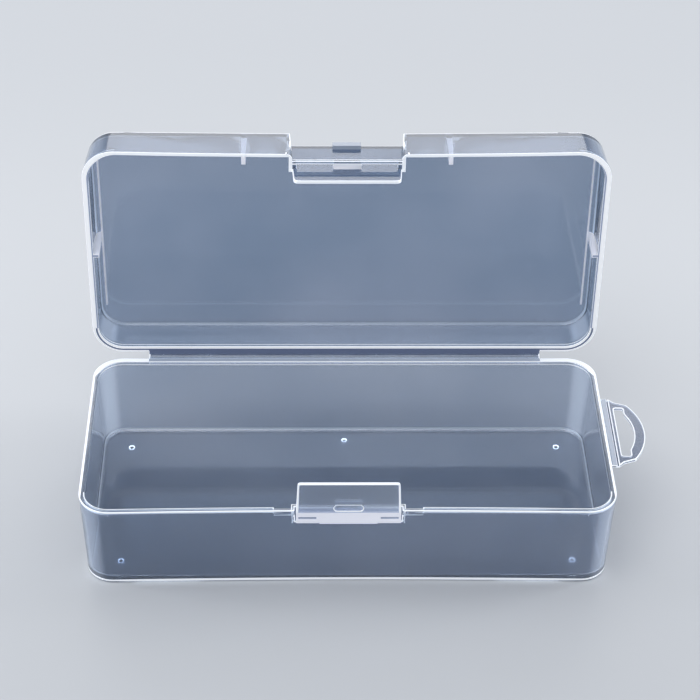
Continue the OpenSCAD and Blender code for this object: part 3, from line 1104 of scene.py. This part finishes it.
@dataclass
class FilmHinge:
    """A film hinge: a thin strip from the tray to a moving piece, swept once with a fixed bend.

    Attributes:
        name: Name of the piece.
        node: Node that it replaces.
        body: Body at its far end; not used.
        slot: Its slot in the record; not used.
        along: Unit vector along the hinge line.
        start: Start of its section in the tray, from the middle of the node.
        knee: Point that its section bends round, from the middle of the node.
        end: End of its section in the moving piece, from the middle of the node.
        film: Its finish, by default a darker copy of the clear plastic as painted shade.
        ends: Finish of its two ends along the hinge line, by default a painted highlight.
        thick: Its thickness.
        end_w: Width of its ends.
        steps: Faces along its section.
        bays: Faces along the hinge line, apart from those at its ends.
        smooth_deg: Angle up to which it is shaded smoothly.
    """

    name: str
    node: str
    body: Body
    slot: Slot
    along: Place
    start: Place
    knee: Place
    end: Place
    film: Plastic = FILM
    ends: Plastic = EDGE_HIGHLIGHT
    thick: float = 0.28 * MM
    end_w: float = 0.45 * MM
    steps: int = 8
    bays: int = 24
    smooth_deg: float = 50.0

    def build(self, paints: Paints) -> bpy.types.Object:
        """Make the strip, dress it and stretch it between the tray and its body.

        Args:
            paints: The materials.

        Returns:
            The new object.
        """
        low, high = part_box(self.node)
        along = Vector(self.along)
        middle = (low + high) / 2
        middle -= along * middle.dot(along)
        bow = Bow(*(middle + Vector(point) for point in (self.start, self.knee, self.end)))
        mesh = bpy.data.meshes.new(self.name)
        self._sweep(mesh, bow, along, (high - low).dot(along) / 2)
        for finish in (self.film, self.ends):
            mesh.materials.append(paints.get(finish))
        piece = bpy.data.objects.new(self.name, mesh)
        bpy.context.scene.collection.objects.link(piece)
        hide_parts(self.node)
        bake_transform(piece)
        return piece

    def _sweep(self, mesh: bpy.types.Mesh, bow: Bow, along: Vector, half: float) -> None:
        """Sweep the strip into a mesh.

        Args:
            mesh: The mesh to fill.
            bow: Middle of the strip's section.
            along: Unit vector along the hinge line.
            half: Half of the strip's length along the hinge line.
        """
        bm = bmesh.new()
        spread = [2 * i / self.bays - 1 for i in range(1, self.bays)]
        places = [-half, self.end_w - half, *(half * s for s in spread), half - self.end_w, half]
        rows = []
        for step in range(self.steps + 1):
            t = step / self.steps
            lift = bow.across(t, along) * self.thick / 2
            rows.append([
                [bm.verts.new(bow.at(t) + lift * side + along * place) for place in places]
                for side in (-1, 1)
            ])
        last = len(places) - 1
        for low, high in (rows[0], rows[-1]):
            for j in range(last):
                bm.faces.new((low[j], low[j + 1], high[j + 1], high[j]))
        for (low, high), (low_next, high_next) in zip(rows, rows[1:]):
            for here, ahead in ((low, low_next), (high, high_next)):
                for j in range(last):
                    face = bm.faces.new((here[j], here[j + 1], ahead[j + 1], ahead[j]))
                    coat = StripCoat.END if j in (0, last - 1) else StripCoat.FILM
                    face.material_index = coat.value
            for j in (0, last):
                face = bm.faces.new((low[j], high[j], high_next[j], low_next[j]))
                face.material_index = StripCoat.END.value
        bmesh.ops.recalc_face_normals(bm, faces=bm.faces)
        for face in bm.faces:
            face.smooth = True
        bm.to_mesh(mesh)
        bm.free()
        mesh.set_sharp_from_angle(angle=math.radians(self.smooth_deg))


LID_FILM = FilmHinge(
    "lid_hinge_strip", "lid_hinge_film", Body.LID, Slot.CLEAR, along=(1.0, 0.0, 0.0),
    start=(0.0, -0.5 * MM, -0.16 * MM), knee=(0.0, 0.1 * MM, -0.1 * MM), end=(0.0, 0.26 * MM, 0.8 * MM),
)
LATCH_FILM = FilmHinge(
    "latch_strip", "latch_film", Body.LATCH, Slot.FROSTED, along=(1.0, 0.0, 0.0),
    start=(0.0, 0.7 * MM, -0.3 * MM), knee=(0.0, -0.25 * MM, -0.3 * MM), end=(0.0, 0.1 * MM, 0.75 * MM),
    film=FROSTED, ends=FROSTED,
)
LOOP_FILM = FilmHinge(
    "loop_strip", "loop_film", Body.LOOP, Slot.CLEAR, along=(0.0, 1.0, 0.0),
    start=(-0.5 * MM, 0.0, 0.0), knee=(0.0, 0.0, 0.05 * MM), end=(0.6 * MM, 0.0, 0.0),
)


# Stage, lamps and camera


@dataclass(frozen=True)
class Lamp:
    """Rectangular area lamp that faces the box.

    Attributes:
        name: Name of the lamp.
        place: Where it hangs, in metres.
        size: Its two sides, in metres.
        watts: Its power.
        aim: Point that it faces.
    """

    name: str
    place: Place
    size: tuple[float, float]
    watts: float
    aim: Place = (0.0, 0.0, 50.0 * MM)

    def hang(self) -> None:
        """Hang the lamp, out of the camera's own sight."""
        data = bpy.data.lights.new(self.name, "AREA")
        data.shape = "RECTANGLE"
        data.size = self.size[0]
        data.size_y = self.size[1]
        data.energy = self.watts
        lamp = bpy.data.objects.new(self.name, data)
        lamp.location = self.place
        lamp.visible_camera = False
        towards = Vector(self.aim) - Vector(self.place)
        lamp.rotation_euler = towards.to_track_quat("-Z", "Y").to_euler()
        bpy.context.scene.collection.objects.link(lamp)


@dataclass
class Studio:
    """Floor, world, soft lamps and the camera at the photograph's viewing angle.

    Attributes:
        floor_half: Half of the floor's side, in metres.
        world_colour: Colour of the light from all round.
        world_light: Strength of the light from all round.
        lamps: The area lamps.
        eye: Place of the camera.
        pitch_deg: How far the camera looks down.
        yaw_deg: How far it is turned to the right.
        roll_deg: How far it is rolled about its own axis.
        lens: Its focal length, in millimetres.
        sensor_w: Width of its sensor, in millimetres.
        shift_x: Its sideways shift, as a share of the frame.
        clip_near: Nearest distance that it sees, in metres.
        clip_far: Farthest distance that it sees, in metres.
    """

    floor_half: float = 6.0
    world_colour: Colour = (0.92, 0.95, 1.0)
    world_light: float = 0.6
    lamps: tuple[Lamp, ...] = (
        Lamp("key_lamp", place=(-0.35, -0.35, 1.2), size=(0.9, 0.7), watts=4.2),
        Lamp("left_strip", place=(-0.9, 0.1, 0.35), size=(0.25, 0.9), watts=2.4),
        Lamp("right_strip", place=(0.9, 0.2, 0.35), size=(0.25, 0.9), watts=2.4),
        Lamp("back_strip", place=(0.0, 0.9, 0.6), size=(1.2, 0.3), watts=3.0),
    )
    eye: Place = (-15.59 * MM, -601.50 * MM, 528.99 * MM)
    pitch_deg: float = 37.255
    yaw_deg: float = 1.1976
    roll_deg: float = 0.698
    lens: float = 110.19
    sensor_w: float = 36.0
    shift_x: float = 0.0153
    clip_near: float = 0.05
    clip_far: float = 50.0

    def build(self) -> None:
        """Set up the whole stage."""
        self._floor()
        self._world()
        for lamp in self.lamps:
            lamp.hang()
        self._camera()
        bpy.context.scene.view_settings.view_transform = "Standard"

    def _floor(self) -> None:
        """Lay the floor under the feet."""
        mesh = bpy.data.meshes.new("floor")
        bm = bmesh.new()
        bmesh.ops.create_grid(bm, x_segments=1, y_segments=1, size=self.floor_half)
        bm.to_mesh(mesh)
        bm.free()
        mesh.materials.append(FloorFinish().build())
        floor = bpy.data.objects.new("floor", mesh)
        floor.location.z = CAD_BOX[0].z
        bpy.context.scene.collection.objects.link(floor)

    def _world(self) -> None:
        """Light the scene evenly from all round."""
        world = bpy.data.worlds.new("studio_world")
        world.use_nodes = True
        sky = world.node_tree.nodes["Background"]
        sky.inputs["Color"].default_value = opaque(self.world_colour)
        sky.inputs["Strength"].default_value = self.world_light
        bpy.context.scene.world = world

    def _camera(self) -> None:
        """Set the camera where the photograph was taken from."""
        data = bpy.data.cameras.new("camera")
        data.lens = self.lens
        data.sensor_width = self.sensor_w
        data.shift_x = self.shift_x
        data.clip_start = self.clip_near
        data.clip_end = self.clip_far
        camera = bpy.data.objects.new("camera", data)
        turn = (
            Matrix.Rotation(math.radians(-self.yaw_deg), 4, "Z")
            @ Matrix.Rotation(math.radians(90.0 - self.pitch_deg), 4, "X")
            @ Matrix.Rotation(math.radians(self.roll_deg), 4, "Z")
        )
        camera.matrix_world = Matrix.Translation(self.eye) @ turn
        bpy.context.scene.collection.objects.link(camera)
        bpy.context.scene.camera = camera


def main() -> None:
    """Build every piece in order and report it."""
    logging.basicConfig(level=logging.INFO)
    paints = Paints()
    for part in (Tray(), Lid(), LatchFlap(), HangLoop(), LID_FILM, LATCH_FILM, LOOP_FILM):
        piece = part.build(paints)
        log.info("%s: %d faces", piece.name, len(piece.data.polygons))
    Studio().build()


if __name__ == "__main__":
    main()
